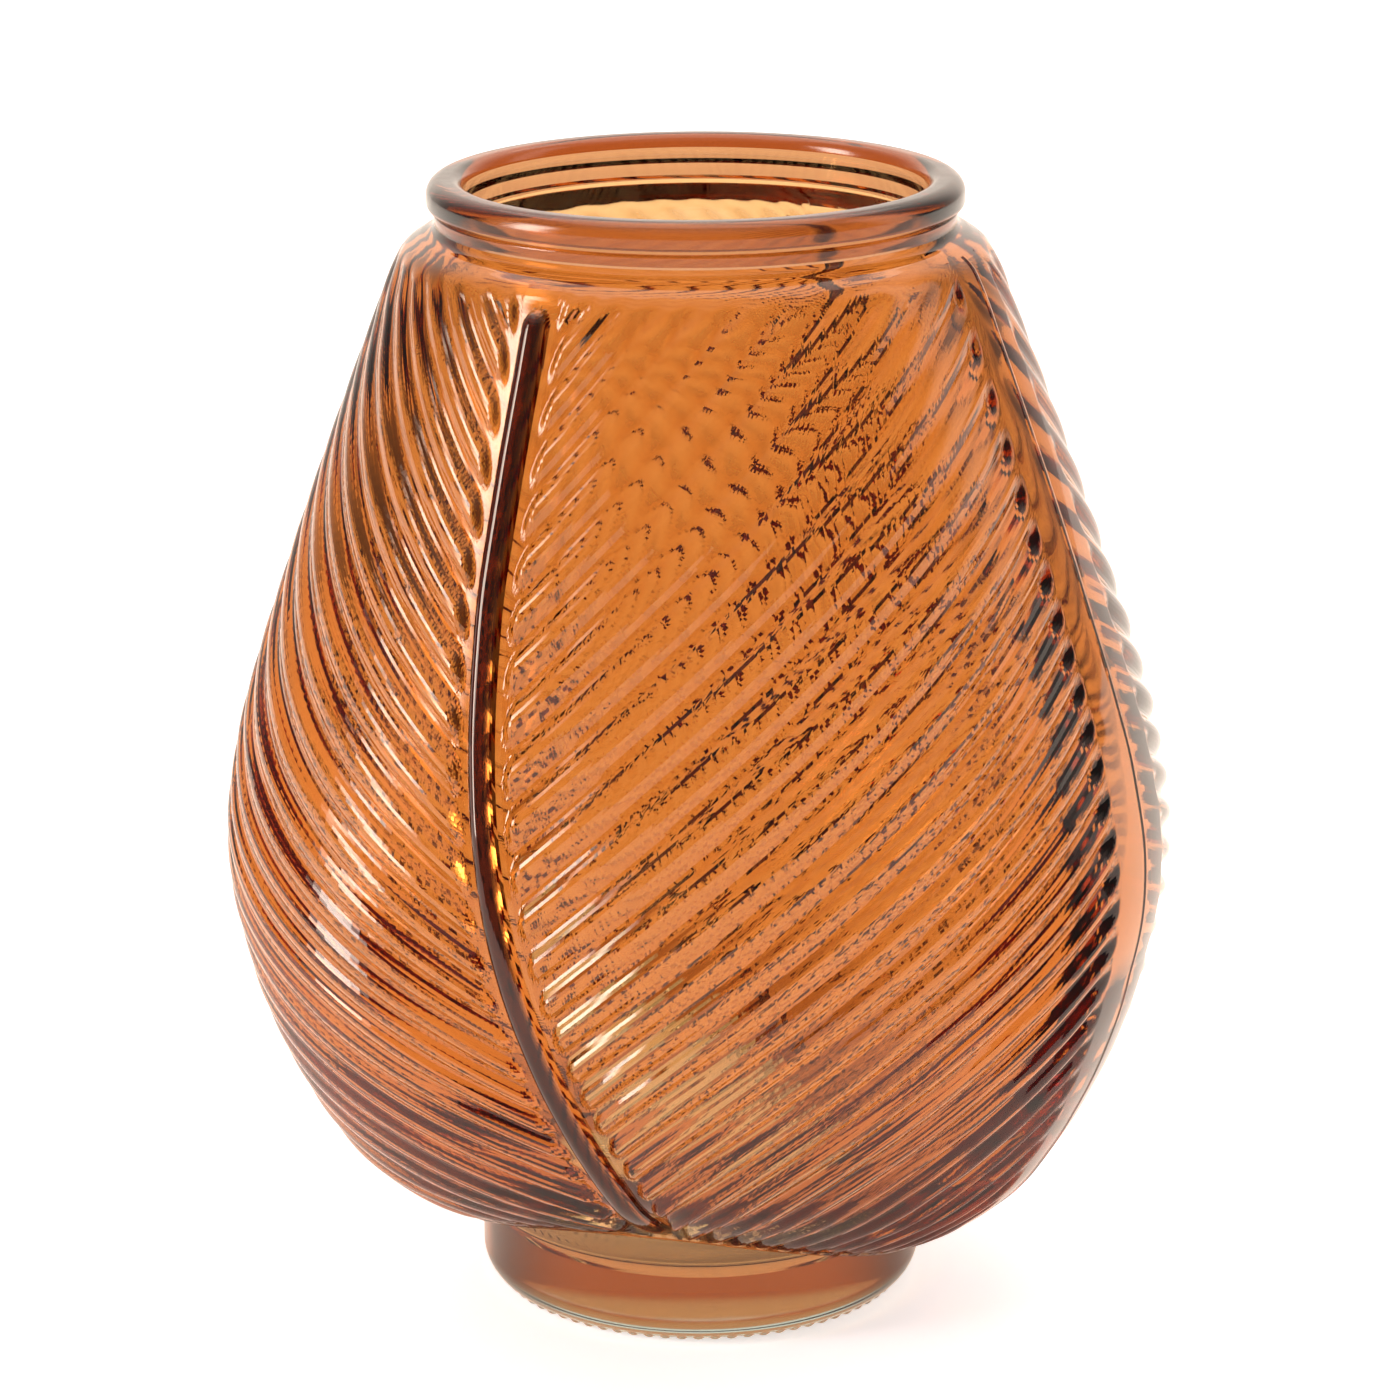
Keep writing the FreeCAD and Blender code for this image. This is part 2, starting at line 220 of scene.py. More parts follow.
# The rules below are written once and work on plain numbers and on fields alike.
def at_least(value, bound):
    if isinstance(value, Field):
        return value.work("MAXIMUM", bound)
    return max(value, bound)


def at_most(value, bound):
    if isinstance(value, Field):
        return value.work("MINIMUM", bound)
    return min(value, bound)


def above(value, bound):
    """1 where value is over bound, else 0."""
    if isinstance(value, Field):
        return value.work("GREATER_THAN", bound)
    return 1.0 if value > bound else 0.0


def size_of(value):
    return value.work("ABSOLUTE") if isinstance(value, Field) else abs(value)


def sine_of(degrees):
    if isinstance(degrees, Field):
        return (degrees * (math.pi / 180.0)).work("SINE")
    return math.sin(math.radians(degrees))


def cosine_of(degrees):
    return sine_of(degrees + 90.0)


def exponent_of(value):
    return value.work("EXPONENT") if isinstance(value, Field) else math.exp(value)


def blend(low, high, share):
    """low where share is 0, high where it is 1."""
    return low + (high - low) * share


def smooth_step(field, start, end):
    """0 before start, 1 after end, eased between."""
    share = at_most(at_least((field - start) * (1.0 / (end - start)), 0.0), 1.0)
    return share * share * (3.0 - share * 2.0)


def split_vector(tree, socket):
    node = tree.nodes.new("ShaderNodeSeparateXYZ")
    tree.links.new(socket, node.inputs[0])
    return [Field(tree, output) for output in node.outputs]


def join_vector(tree, x_part, y_part, z_part):
    node = tree.nodes.new("ShaderNodeCombineXYZ")
    for slot, part in enumerate((x_part, y_part, z_part)):
        connect(tree, part, node.inputs[slot])
    return node.outputs[0]


# ---------------------------------------------------------------- rules of the leaf
MIDRIB_STRIP = 3.2
LEAST_STRIP_RADIUS = 50.0
LEAST_PITCH = 4.8
MOST_PITCH = 6.9
PITCH_GROWTH = 0.06
GROWTH_FROM = 50.0
GROWTH_TO = 85.0
VEINS_TO_GROWTH = GROWTH_FROM / LEAST_PITCH
VEINS_TO_STEADY = VEINS_TO_GROWTH + math.log(MOST_PITCH / LEAST_PITCH) / PITCH_GROWTH
DEGREE = math.pi / 180.0
MIDRIB_TOP_AZIMUTH = 6.0
SWEEP_FROM = 130.0
SWEEP_POWER = 1.526
SWEEP_RATE = 0.0166
LEDGE_PEAK_AZIMUTH = 9.0
LEDGE_SWING = 10.4
LEDGE_LOWEST = 9.6
RIGHT_VEIN_RISE = 1.2
RIGHT_VEIN_DROOP = 0.00425
MIDDLE_VEIN = 15.0
MOST_VEINS = 30.0
FIRST_GUESS = 3.0
MIDRIB_ROUNDS = 9
LEDGE_LEVEL_GUESS = 15.0
LEDGE_ROUNDS = 6


def midrib_azimuth(level):
    """Azimuth of the midrib: upright near the neck, sweeping sideways to the foot."""
    below = at_least(SWEEP_FROM - level, 0.0)
    return below ** SWEEP_POWER * SWEEP_RATE - MIDRIB_TOP_AZIMUTH


def strip_half(radius):
    """Half angle of the strip of wall that carries the midrib."""
    return MIDRIB_STRIP / DEGREE / at_least(radius, LEAST_STRIP_RADIUS)


def ledge_level(azimuth):
    """Height of the edge where the body overhangs the foot."""
    swing = cosine_of(azimuth - LEDGE_PEAK_AZIMUTH)
    return swing * swing * LEDGE_SWING + LEDGE_LOWEST


def ledge_slope(azimuth):
    return sine_of((azimuth - LEDGE_PEAK_AZIMUTH) * 2.0) * (-LEDGE_SWING * DEGREE)


def stretched(level, azimuth):
    """Height on the wall of a point of the leaf-middle outline."""
    edge = ledge_level(azimuth)
    upper = edge + (level - LEDGE) * (STRETCH_TOP - edge) / (STRETCH_TOP - LEDGE)
    lower = (level - FLOOR_LEVEL) * (edge - FLOOR_LEVEL) / (LEDGE - FLOOR_LEVEL) + FLOOR_LEVEL
    return blend(blend(lower, upper, above(level, LEDGE - 1e-4)), level, above(level, STRETCH_TOP))


def unstretched(height, azimuth):
    """Reverse of stretched(), from the ledge up."""
    edge = ledge_level(azimuth)
    level = LEDGE + (height - edge) * (STRETCH_TOP - LEDGE) / (STRETCH_TOP - edge)
    return at_least(blend(level, height, above(height, STRETCH_TOP)), LEDGE)


def vein_start(number):
    """Level on the midrib where a vein starts; whole numbers are groove lines."""
    low = number * LEAST_PITCH
    growing = exponent_of((number - VEINS_TO_GROWTH) * PITCH_GROWTH) - 1.0
    middle = growing * (LEAST_PITCH / PITCH_GROWTH) + GROWTH_FROM
    high = (number - VEINS_TO_STEADY) * MOST_PITCH + GROWTH_TO
    lower = blend(low, middle, above(number, VEINS_TO_GROWTH))
    return blend(lower, high, above(number, VEINS_TO_STEADY))


def vein_shape(number, side):
    """Start level, rise per degree and droop of a vein; side is +1 right, -1 left."""
    start = vein_start(number)
    if side > 0:
        return start, RIGHT_VEIN_RISE, RIGHT_VEIN_DROOP
    return start, at_most(start * 0.0055 + 0.25, 0.95), 0.0


def vein_height(start, rise, droop, away):
    """Height of a vein so many degrees away from where it starts."""
    return start + rise * away - away * away * droop


def vein_reach(number, side, seam, radius_at):
    """Degrees from its start at which a vein enters and leaves the field."""
    start, rise, droop = vein_shape(number, side)
    centre = midrib_azimuth(start)
    beside = start * 0.0 + FIRST_GUESS
    for _ in range(MIDRIB_ROUNDS):
        azimuth = centre + beside * side
        level = unstretched(vein_height(start, rise, droop, beside), azimuth)
        edge = midrib_azimuth(level) + strip_half(radius_at(level)) * side
        beside = (edge - centre) * side
    off_ledge = at_least((LEDGE_LEVEL_GUESS - start) / rise, 0.0)
    for _ in range(LEDGE_ROUNDS):
        azimuth = centre + off_ledge * side
        gap = vein_height(start, rise, droop, off_ledge) - ledge_level(azimuth)
        steepness = rise - off_ledge * (2.0 * droop) - ledge_slope(azimuth) * side
        off_ledge = off_ledge - gap / steepness
    enters = at_least(beside, off_ledge)
    to_seam = seam - centre * side
    to_top = SHOULDER - start
    root = at_least(rise * rise - to_top * (4.0 * droop), 0.0) ** 0.5
    leaves = at_most(to_seam, to_top * 2.0 / (rise + root))
    return enters, at_least(leaves, enters)


def last_vein(side, seam, outward):
    """Number at which the field closes to a point, below (-1) or above (+1)."""
    inside = MIDDLE_VEIN
    outside = MIDDLE_VEIN + MOST_VEINS * outward
    for _ in range(40):
        middle = 0.5 * (inside + outside)
        enters, leaves = vein_reach(middle, side, seam, outer_radius)
        if leaves - enters > 1e-6:
            inside = middle
        else:
            outside = middle
    return inside


def relief_depth(height, azimuth, sizes):
    """Crest to groove: deepest by the midrib, seams and ledge, least near the shoulder."""
    upper = at_most(at_least((VASE_HEIGHT - height) / 60.0, 0.55), 1.0)
    lower = blend(1.7, 1.0, smooth_step(height, 14.0, 34.0))
    from_midrib = size_of(azimuth - midrib_azimuth(height))
    outward = blend(1.05, 0.54, smooth_step(from_midrib, 4.0, 24.0))
    outward = outward + smooth_step(size_of(azimuth), 46.0, 80.0) * 0.5
    return sizes["Relief Depth"] * upper * lower * outward


def relief_fade(level, height):
    """Relief dies out at the ledge and into the shoulder."""
    return smooth_step(level, LEDGE, LEDGE + 1.0) * (1.0 - smooth_step(height, 166.0, 170.2))


def lobe_profile(spread, fullness):
    """1 on a lobe's crest, 0 in the rounded groove beside it; spread runs from 0 to 1."""
    turn = 0.62
    level = turn ** fullness
    steepness = fullness * turn ** (fullness - 1.0)
    bend = steepness / (2.0 * (1.0 - turn))
    deepest = level + bend * (1.0 - turn) ** 2
    short = 1.0 - spread
    groove = deepest - short * short * bend
    return 1.0 - blend(spread ** fullness, groove, above(spread, turn)) * (1.0 / deepest)


# ---------------------------------------------------------------- outlines
def placed(name, data):
    """New object of this data, linked to the scene."""
    holder = bpy.data.objects.new(name, data)
    bpy.context.scene.collection.objects.link(holder)
    return holder


def smooth_outline(corners):
    """Dense (radius, height) points of a smooth curve through the corners."""
    curve = bpy.data.curves.new("outline", "CURVE")
    curve.dimensions = "3D"
    curve.resolution_u = 60
    spline = curve.splines.new("BEZIER")
    spline.bezier_points.add(len(corners) - 1)
    for point, (radius, height, kind) in zip(spline.bezier_points, corners):
        point.co = (radius, 0.0, height)
        point.handle_left_type = kind
        point.handle_right_type = kind
    holder = placed("outline", curve)
    bpy.context.view_layer.update()
    graph = bpy.context.evaluated_depsgraph_get()
    mesh = bpy.data.meshes.new_from_object(holder.evaluated_get(graph))
    points = [(vertex.co.x, vertex.co.z) for vertex in mesh.vertices]
    bpy.data.meshes.remove(mesh)
    bpy.data.objects.remove(holder)
    bpy.data.curves.remove(curve)
    return points


def radius_on(points, height):
    return float(np.interp(height, [z for _, z in points], [r for r, _ in points]))


OUTSIDE_POINTS = smooth_outline(OUTSIDE)
INSIDE_POINTS = smooth_outline(INSIDE)


def outer_radius(level):
    return radius_on(OUTSIDE_POINTS, level)


def inner_spot(level):
    """(radius, height) inside the wall that faces an outside level."""
    height = level
    if level < INNER_MEETS:
        climb = (level - LEDGE) * (INNER_MEETS - INNER_LEDGE) / (INNER_MEETS - LEDGE)
        height = INNER_LEDGE + climb
    return radius_on(INSIDE_POINTS, height), height


def profile_holder():
    """Rail of points, one per step of level, holding (outer radius, inner radius, inner height)."""
    found = bpy.data.objects.get("wall_profile")
    if found:
        return found
    count = int((SHOULDER - LEDGE) / PROFILE_STEP) + 3
    rail = []
    for index in range(count):
        level = LEDGE + PROFILE_STEP * index
        radius, height = inner_spot(min(level, COLLAR_FOOT))
        rail.append((outer_radius(level), radius, height))
    data = bpy.data.meshes.new("wall_profile")
    data.from_pydata(rail, [], [])
    return placed("wall_profile", data)


def profile_reader(tree, holder):
    """Function that reads the rail at a level: outer radius, inner radius, inner height."""
    info = tree.nodes.new("GeometryNodeObjectInfo")
    tree.links.new(holder, info.inputs["Object"])
    spot = tree.nodes.new("GeometryNodeInputPosition")

    def read(level):
        place = (level - LEDGE) * (1.0 / PROFILE_STEP)
        floor = place.work("FLOOR")
        samples = []
        for step in (0.0, 1.0):
            sample = tree.nodes.new("GeometryNodeSampleIndex")
            sample.data_type = "FLOAT_VECTOR"
            sample.clamp = True
            tree.links.new(info.outputs["Geometry"], sample.inputs["Geometry"])
            tree.links.new(spot.outputs[0], sample.inputs["Value"])
            tree.links.new((floor + step).socket, sample.inputs["Index"])
            samples.append(split_vector(tree, sample.outputs[0]))
        share = place - floor
        return [blend(low, high, share) for low, high in zip(*samples)]

    return read


# ---------------------------------------------------------------- the wall panels
SHARED_INPUTS = [
    ("Profile", "NodeSocketObject"), ("Columns", "NodeSocketInt"), ("Rows", "NodeSocketInt"),
    ("Relief Depth", "NodeSocketFloat"), ("Inner Waviness", "NodeSocketFloat"),
    ("Coated", "NodeSocketMaterial"), ("Bare", "NodeSocketMaterial"),
    ("Joint", "NodeSocketMaterial"),
]


def set_material(tree, geometry, selection, material):
    node = tree.nodes.new("GeometryNodeSetMaterial")
    tree.links.new(geometry, node.inputs["Geometry"])
    if selection is not None:
        connect(tree, selection, node.inputs["Selection"])
    tree.links.new(material, node.inputs["Material"])
    return node.outputs[0]


def captured(tree, geometry, field, domain):
    """Hold a field as it is now, before the points move."""
    node = tree.nodes.new("GeometryNodeCaptureAttribute")
    node.domain = domain
    node.capture_items.new("FLOAT", "Value")
    tree.links.new(geometry, node.inputs["Geometry"])
    tree.links.new(field.socket, node.inputs["Value"])
    return node.outputs["Geometry"], Field(tree, node.outputs["Value"])


class PanelTree:
    """Start and end that every wall tree shares: a block of mesh, bent into place."""

    def __init__(self, name, extra_inputs):
        tree = bpy.data.node_groups.new(name, "GeometryNodeTree")
        inputs = SHARED_INPUTS + [(word, "NodeSocketFloat") for word in extra_inputs]
        for word, kind in inputs:
            tree.interface.new_socket(name=word, in_out="INPUT", socket_type=kind)
        tree.interface.new_socket(name="Panel", in_out="OUTPUT", socket_type="NodeSocketGeometry")
        entry = tree.nodes.new("NodeGroupInput")
        self.tree = tree
        self.sockets = {word: entry.outputs[word] for word, _ in inputs}
        self.sizes = {word: Field(tree, socket) for word, socket in self.sockets.items()}
        block = tree.nodes.new("GeometryNodeMeshCube")
        block.inputs["Size"].default_value = (1.0, 1.0, 1.0)
        tree.links.new(self.sockets["Columns"], block.inputs["Vertices X"])
        tree.links.new(self.sockets["Rows"], block.inputs["Vertices Y"])
        normal = tree.nodes.new("GeometryNodeInputNormal")
        facing = split_vector(tree, normal.outputs["Normal"])[2]
        angle = tree.nodes.new("GeometryNodeInputMeshEdgeAngle")
        turn = Field(tree, angle.outputs["Unsigned Angle"])
        geometry, self.facing = captured(tree, block.outputs["Mesh"], facing, "FACE")
        self.geometry, self.turn = captured(tree, geometry, turn, "EDGE")
        spot = tree.nodes.new("GeometryNodeInputPosition")
        across, along, depth = split_vector(tree, spot.outputs[0])
        self.across = across + 0.5
        self.along = along + 0.5
        self.outer = above(depth, 0.0)
        self.read = profile_reader(tree, self.sockets["Profile"])

    def bend(self, azimuth, level, height, shift, coat):
        """Put every point in its place and finish the panel.

        coat is how thick the coating lies, 0 thin and 1 gathered in a groove; 2 marks the midrib
        bead, which gets painted shade in place of the dark its refraction gives.
        """
        tree = self.tree
        radius, inner_radius, inner_height = self.read(level)
        ahead = self.read(level + SLOPE_STEP)[0]
        slope = (ahead - radius) * (1.0 / SLOPE_STEP)
        upright = (slope * slope + 1.0) ** -0.5
        outer_spot = radius + shift * upright
        outer_height = height - shift * slope * upright
        wave = tree.nodes.new("ShaderNodeTexNoise")
        wave.inputs["Scale"].default_value = 0.05
        wave.inputs["Detail"].default_value = 1.0
        tree.links.new(join_vector(tree, azimuth * 1.2, level, 0.0), wave.inputs["Vector"])
        waviness = (Field(tree, wave.outputs[0]) - 0.5) * self.sizes["Inner Waviness"]
        waviness = waviness * smooth_step(level, LEDGE, 40.0)
        waviness = waviness * (1.0 - smooth_step(level, 140.0, 168.0))
        final_radius = blend(inner_radius + waviness, outer_spot, self.outer) * MM
        final_height = blend(inner_height, outer_height, self.outer) * MM
        east = final_radius * sine_of(azimuth)
        north = final_radius * cosine_of(azimuth) * -1.0
        store = tree.nodes.new("GeometryNodeStoreNamedAttribute")
        store.data_type = "FLOAT"
        store.domain = "POINT"
        store.inputs["Name"].default_value = "coat"
        tree.links.new(self.geometry, store.inputs["Geometry"])
        tree.links.new((coat * self.outer).socket, store.inputs["Value"])
        place = tree.nodes.new("GeometryNodeSetPosition")
        tree.links.new(store.outputs[0], place.inputs["Geometry"])
        tree.links.new(join_vector(tree, east, north, final_height), place.inputs["Position"])
        closed = tree.nodes.new("GeometryNodeMergeByDistance")
        closed.inputs["Distance"].default_value = 0.004 * MM
        tree.links.new(place.outputs[0], closed.inputs["Geometry"])
        smooth = tree.nodes.new("GeometryNodeSetShadeSmooth")
        smooth.domain = "EDGE"
        smooth.inputs["Shade Smooth"].default_value = False
        tree.links.new(closed.outputs[0], smooth.inputs["Geometry"])
        tree.links.new(above(self.turn, 1.0).socket, smooth.inputs["Selection"])
        whole = tree.nodes.new("GeometryNodeRealizeInstances")
        tree.links.new(smooth.outputs[0], whole.inputs[0])
        skin = set_material(tree, whole.outputs[0], None, self.sockets["Coated"])
        inner_face = self.facing.work("LESS_THAN", -0.5)
        skin = set_material(tree, skin, inner_face, self.sockets["Bare"])
        side_face = size_of(self.facing).work("LESS_THAN", 0.5)
        skin = set_material(tree, skin, side_face, self.sockets["Joint"])
        leave = tree.nodes.new("NodeGroupOutput")
        tree.links.new(skin, leave.inputs[0])
        return tree


def vein_tree(side):
    """Field of side veins whose mesh rows run along the veins, so grooves stay clean."""
    panel = PanelTree("vein_field_right" if side > 0 else "vein_field_left", [
        "First Vein", "Last Vein", "Seam Edge", "Lobe End"])
    sizes = panel.sizes
    number = blend(sizes["First Vein"], sizes["Last Vein"], panel.along)
    start, rise, droop = vein_shape(number, side)

    def radius_at(level):
        return panel.read(level)[0]

    enters, leaves = vein_reach(number, side, sizes["Seam Edge"], radius_at)
    run = panel.across if side > 0 else 1.0 - panel.across
    run = run - sine_of(run * 360.0) * (0.72 / (2.0 * math.pi))
    away = blend(enters, leaves, run)
    azimuth = midrib_azimuth(start) + away * side
    height = vein_height(start, rise, droop, away)
    level = unstretched(height, azimuth)
    from_midrib = (azimuth - midrib_azimuth(level)) * (side * DEGREE) * radius_at(level)
    spread = size_of(number.work("FRACT") * 2.0 - 1.0)
    end = (sizes["Lobe End"] + MIDRIB_STRIP - from_midrib) / sizes["Lobe End"]
    end = at_most(at_least(end, 0.0), 1.0)
    spread = at_most((spread * spread + end * end) ** 0.5, 1.0)
    groove = 1.0 - lobe_profile(spread, LOBE_FULLNESS)
    beside_seam = (sizes["Seam Edge"] - 0.3 - azimuth * side) * (1.0 / 3.0)
    groove = groove * smooth_step(beside_seam, 0.0, 1.0)
    groove = groove * relief_fade(level, height)
    shift = groove * relief_depth(height, azimuth, sizes) * -1.0
    return panel.bend(azimuth, level, height, shift, groove)


def strip_tree():
    """Upright strip of wall: the midrib with its channel, or a margin with its seam."""
    panel = PanelTree("upright_strip", [
        "Middle", "Half Angle", "Follows Midrib", "Midrib Width", "Midrib Rise", "Seam Rise"])
    sizes = panel.sizes
    level = blend(LEDGE, SHOULDER, panel.along)
    radius = panel.read(level)[0]
    follows = sizes["Follows Midrib"]
    middle = sizes["Middle"] + midrib_azimuth(level) * follows
    half = blend(sizes["Half Angle"], strip_half(radius), follows)
    azimuth = middle + (panel.across * 2.0 - 1.0) * half
    height = stretched(level, azimuth)
    from_middle = size_of(azimuth - middle) * DEGREE * radius
    tip = at_least((height - 164.5) / 3.2, 0.0)
    bead_across = from_middle / (sizes["Midrib Width"] * 0.5)
    bead = at_least(1.0 - (bead_across * bead_across + tip * tip), 0.0) ** 0.6
    bead_rise = sizes["Midrib Rise"] * blend(0.6, 1.0, smooth_step(height, 18.0, 45.0))
    depth = relief_depth(height, azimuth, sizes)
    fade = relief_fade(level, height)
    midrib = (bead * bead_rise - depth) * fade
    seam = at_least(1.0 - from_middle / 0.6, 0.0) * sizes["Seam Rise"]
    seam = seam * smooth_step(level, LEDGE, LEDGE + 3.0)
    shift = blend(seam, midrib, follows)
    # Up to 2 on the bead: there the material paints shade, near black, in place of the dark its
    # refraction gives.
    coat = (bead * 1.8 + 0.2) * fade * follows
    return panel.bend(azimuth, level, height, shift, coat)


def drop_empty_slot(mesh):
    """Take away the unused first material slot that a grown mesh starts with."""
    if mesh.materials[0] is not None:
        return
    numbers = np.empty(len(mesh.polygons), dtype=np.int32)
    mesh.polygons.foreach_get("material_index", numbers)
    mesh.materials.pop(index=0)
    mesh.polygons.foreach_set("material_index", numbers - 1)
    mesh.update()


def grown(tree, name, values):
    """Object whose plain mesh is what the tree makes of these input values."""
    piece = placed(name, bpy.data.meshes.new(name))
    modifier = piece.modifiers.new(tree.name, "NODES")
    modifier.node_group = tree
    for item in tree.interface.items_tree:
        if item.item_type == "SOCKET" and item.in_out == "INPUT" and item.name in values:
            modifier[item.identifier] = values[item.name]
    bpy.context.view_layer.update()
    graph = bpy.context.evaluated_depsgraph_get()
    mesh = bpy.data.meshes.new_from_object(piece.evaluated_get(graph))
    piece.modifiers.clear()
    piece.data = mesh
    mesh.name = name
    drop_empty_slot(mesh)
    return piece


def wall_values(columns, rows):
    """Input values that every wall tree takes."""
    sizes = bpy.context.scene.vase_sizes
    return {
        "Profile": profile_holder(), "Columns": columns, "Rows": rows,
        "Relief Depth": sizes.relief_depth, "Inner Waviness": sizes.inner_waviness,
        "Coated": amber_coat_with_bead_shade(), "Bare": bare_glass(), "Joint": joint_faces(),
    }


def vein_field(name, side):
    sizes = bpy.context.scene.vase_sizes
    seam = 90.0 - sizes.margin_angle
    first = last_vein(side, seam, -1.0)
    last = last_vein(side, seam, 1.0)
    rows = int((last - first) * sizes.rows_per_vein) + 1
    values = wall_values(sizes.vein_columns, rows)
    values.update({
        "First Vein": first, "Last Vein": last, "Seam Edge": seam, "Lobe End": sizes.lobe_end,
    })
    return grown(vein_tree(side), name, values)


def upright_strip(name, middle, half, follows):
    sizes = bpy.context.scene.vase_sizes
    values = wall_values(sizes.strip_columns, sizes.strip_rows)
    values.update({
        "Middle": middle, "Half Angle": half, "Follows Midrib": follows,
        "Midrib Width": sizes.midrib_width, "Midrib Rise": sizes.midrib_rise,
        "Seam Rise": sizes.seam_rise,
    })
    return grown(bpy.data.node_groups.get("upright_strip") or strip_tree(), name, values)


def back_copy(piece, name):
    """The same panel on the back leaf: half a turn about the axis."""
    mesh = piece.data.copy()
    mesh.name = name
    mesh.transform(Matrix.Rotation(math.pi, 4, "Z"))
    return placed(name, mesh)


def finish_piece(piece, slot, *nodes):
    """Join a finished piece to the frame."""
    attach(piece, "root")
    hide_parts(*nodes)
    return piece


# ---------------------------------------------------------------- turned pieces
def rounded_outline(corners):
    """Closed outline of (radius, height, skin) from corners (radius, height, round, skin)."""
    points = []
    count = len(corners)
    for index, (radius, height, rounding, skin) in enumerate(corners):
        spot = Vector((radius, height))
        before = Vector(corners[index - 1][:2])
        after = Vector(corners[(index + 1) % count][:2])
        if rounding <= 0.0:
            points.append((radius, height, skin))
            continue
        back = (before - spot).normalized()
        onward = (after - spot).normalized()
        half = back.angle(onward) / 2.0
        run = rounding / math.tan(half)
        centre = spot + (back + onward).normalized() * (rounding / math.sin(half))
        start = spot + back * run - centre
        sweep = start.angle_signed(spot + onward * run - centre)
        pieces = max(2, int(abs(sweep) * rounding / 0.35) + 1)
        arc_skin = corners[index - 1][3] if corners[index - 1][3] != "joint" else skin
        for step in range(pieces + 1):
            turn = -sweep * step / pieces
            cos_turn = math.cos(turn)
            sin_turn = math.sin(turn)
            x_part = centre.x + start.x * cos_turn - start.y * sin_turn
            y_part = centre.y + start.x * sin_turn + start.y * cos_turn
            points.append((x_part, y_part, skin if step == pieces else arc_skin))
    return points


def filled_in(outline, longest):
    """Same outline with long straight stretches divided, except on joint faces."""
    points = []
    for index, (radius, height, skin) in enumerate(outline):
        after = outline[(index + 1) % len(outline)]
        length = math.hypot(after[0] - radius, after[1] - height)
        parts = 1 if skin == "joint" else max(1, int(length / longest))
        for step in range(parts):
            share = step / parts
            spot_r = radius + (after[0] - radius) * share
            spot_z = height + (after[1] - height) * share
            points.append((spot_r, spot_z, skin))
    return points


def thinned(points, spacing):
    """The first and last point, and others at least this far apart."""
    kept = [points[0]]
    for point in points[1:-1]:
        if math.dist(point, kept[-1]) >= spacing and math.dist(point, points[-1]) >= spacing:
            kept.append(point)
    return kept + [points[-1]]


def turned_piece(name, outline, columns, lift=None, coat=None):
    """Closed mesh turned about Z; lift(azimuth, radius, height) shifts a point outwards."""
    skins = ["coated", "bare", "joint"]
    mesh = bmesh.new()
    rings = []
    for radius, height, _ in outline:
        ring = []
        if radius < 1e-6:
            ring = [mesh.verts.new((0.0, 0.0, height * MM))] * columns
        else:
            for column in range(columns):
                turn = 2.0 * math.pi * column / columns
                spot_r, spot_z = radius, height
                if lift is not None:
                    spot_r, spot_z = lift(math.degrees(turn), radius, height)
                east = spot_r * math.sin(turn) * MM
                ring.append(mesh.verts.new((east, -spot_r * math.cos(turn) * MM, spot_z * MM)))
        rings.append(ring)
    count = len(rings)
    for index in range(count):
        low = rings[index]
        high = rings[(index + 1) % count]
        if low[0] is low[-1] and high[0] is high[-1]:
            continue
        for column in range(columns):
            after = (column + 1) % columns
            corners = [low[column], low[after], high[after], high[column]]
            corners = [c for place, c in enumerate(corners) if c is not corners[place - 1]]
            face = mesh.faces.new(corners)
            face.smooth = True
            face.material_index = skins.index(outline[index][2])
    bmesh.ops.recalc_face_normals(mesh, faces=mesh.faces)
    data = bpy.data.meshes.new(name)
    mesh.to_mesh(data)
    mesh.free()
    for material in (coat or amber_coat_with_bead_shade(), bare_glass(), joint_faces()):
        data.materials.append(material)
    data.set_sharp_from_angle(angle=math.radians(40.0))
    return placed(name, data)


# ---------------------------------------------------------------- materials
GLASS_INDEX = 1.52


def new_material(name):
    """New node material, its tree and its output node."""
    material = bpy.data.materials.new(name)
    material.use_nodes = True
    material.node_tree.nodes.clear()
    output = material.node_tree.nodes.new("ShaderNodeOutputMaterial")
    return material, material.node_tree, output


def ripple_group():
    """Shader group: soft unevenness of fire-polished glass, and mottling of a sprayed coat."""
    found = bpy.data.node_groups.get("glass_ripple")
    if found:
        return found
    group = bpy.data.node_groups.new("glass_ripple", "ShaderNodeTree")
    for word, way in (("Coarse", "INPUT"), ("Fine", "INPUT"), ("Height", "OUTPUT"),
                      ("Mottle", "OUTPUT")):
        group.interface.new_socket(name=word, in_out=way, socket_type="NodeSocketFloat")
    entry = group.nodes.new("NodeGroupInput")
    leave = group.nodes.new("NodeGroupOutput")
    spot = group.nodes.new("ShaderNodeTexCoord")
    outputs = []
    for scale_name, detail in (("Coarse", 2.0), ("Fine", 3.0)):
        noise = group.nodes.new("ShaderNodeTexNoise")
        noise.inputs["Detail"].default_value = detail
        group.links.new(spot.outputs["Object"], noise.inputs["Vector"])
        group.links.new(entry.outputs[scale_name], noise.inputs["Scale"])
        outputs.append(noise.outputs[0])
    group.links.new(outputs[0], leave.inputs["Height"])
    group.links.new(outputs[1], leave.inputs["Mottle"])
    return group


def mixed(nodes, kind, share, low, high, links):
    """Mix node of colours; low and high are colours or sockets."""
    mix = nodes.new("ShaderNodeMix")
    mix.data_type = "RGBA"
    mix.blend_type = kind
    for socket, value in ((mix.inputs[0], share), (mix.inputs[6], low), (mix.inputs[7], high)):
        if isinstance(value, bpy.types.NodeSocket):
            links.new(value, socket)
        elif isinstance(value, float):
            socket.default_value = value
        else:
            socket.default_value = (value[0], value[1], value[2], 1.0)
    return mix.outputs[2]


# Colour of the sheen on the lacquer, chosen warmer than a plain white reflection.
LACQUER_SHEEN = (1.0, 0.86, 0.74)


